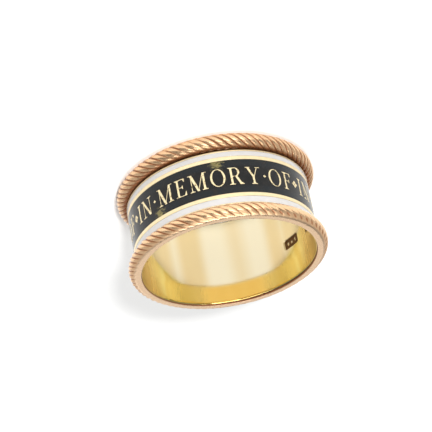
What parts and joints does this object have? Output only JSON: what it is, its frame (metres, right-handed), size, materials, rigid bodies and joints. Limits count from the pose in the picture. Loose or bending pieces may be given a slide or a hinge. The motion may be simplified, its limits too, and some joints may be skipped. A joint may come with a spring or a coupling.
{
  "type": "mourning ring",
  "caption": "Wide gold finger ring with a black enamelled band edged in white, between corded rose gold rims.",
  "frame": {"origin": "centre of the lower end face, which the ring rests on", "axes": "+Z along the finger axis, upwards from the face that it rests on"},
  "size_m": [0.0208, 0.0208, 0.0097],
  "materials": {
    "yellow_gold": "polished yellow gold, worn to a soft gloss",
    "rose_gold": "polished rose gold, darker in the grooves",
    "black_enamel": "fired black enamel, glossy and lightly worn",
    "white_enamel": "fired white enamel, glossy"
  },
  "bodies": {
    "root": {"band": "yellow_gold", "lower_rim": "rose_gold", "upper_rim": "rose_gold", "black_enamel": "black_enamel", "lower_white_enamel": "white_enamel", "upper_white_enamel": "white_enamel"}
  },
  "joints": []
}
